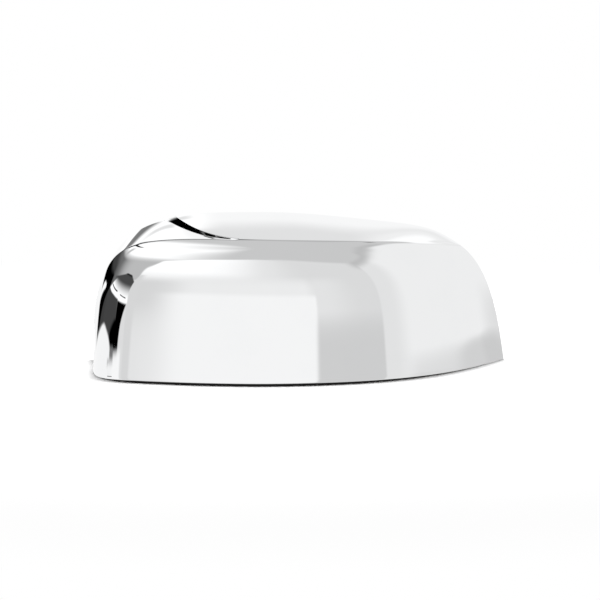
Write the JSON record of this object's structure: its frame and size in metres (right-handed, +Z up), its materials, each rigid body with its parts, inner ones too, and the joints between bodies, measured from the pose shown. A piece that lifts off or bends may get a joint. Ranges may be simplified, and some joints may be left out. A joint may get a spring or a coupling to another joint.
{
  "type": "wing mirror cover",
  "caption": "Upper half cover of a car's wing mirror: a thin bright shell with a rounded outer end, a swept inner end and a raised blade on top.",
  "frame": {"origin": "centre of the part's box, at the height of its flat lower rim", "axes": "+X along the mirror from the rounded outer end to the swept inner end, +Y from the front to the open back, +Z up"},
  "size_m": [0.2511, 0.084, 0.0908],
  "materials": {
    "chrome": "bright mirror plating outside, plain satin plating inside"
  },
  "bodies": {
    "root": {"cover": "chrome"}
  },
  "joints": []
}
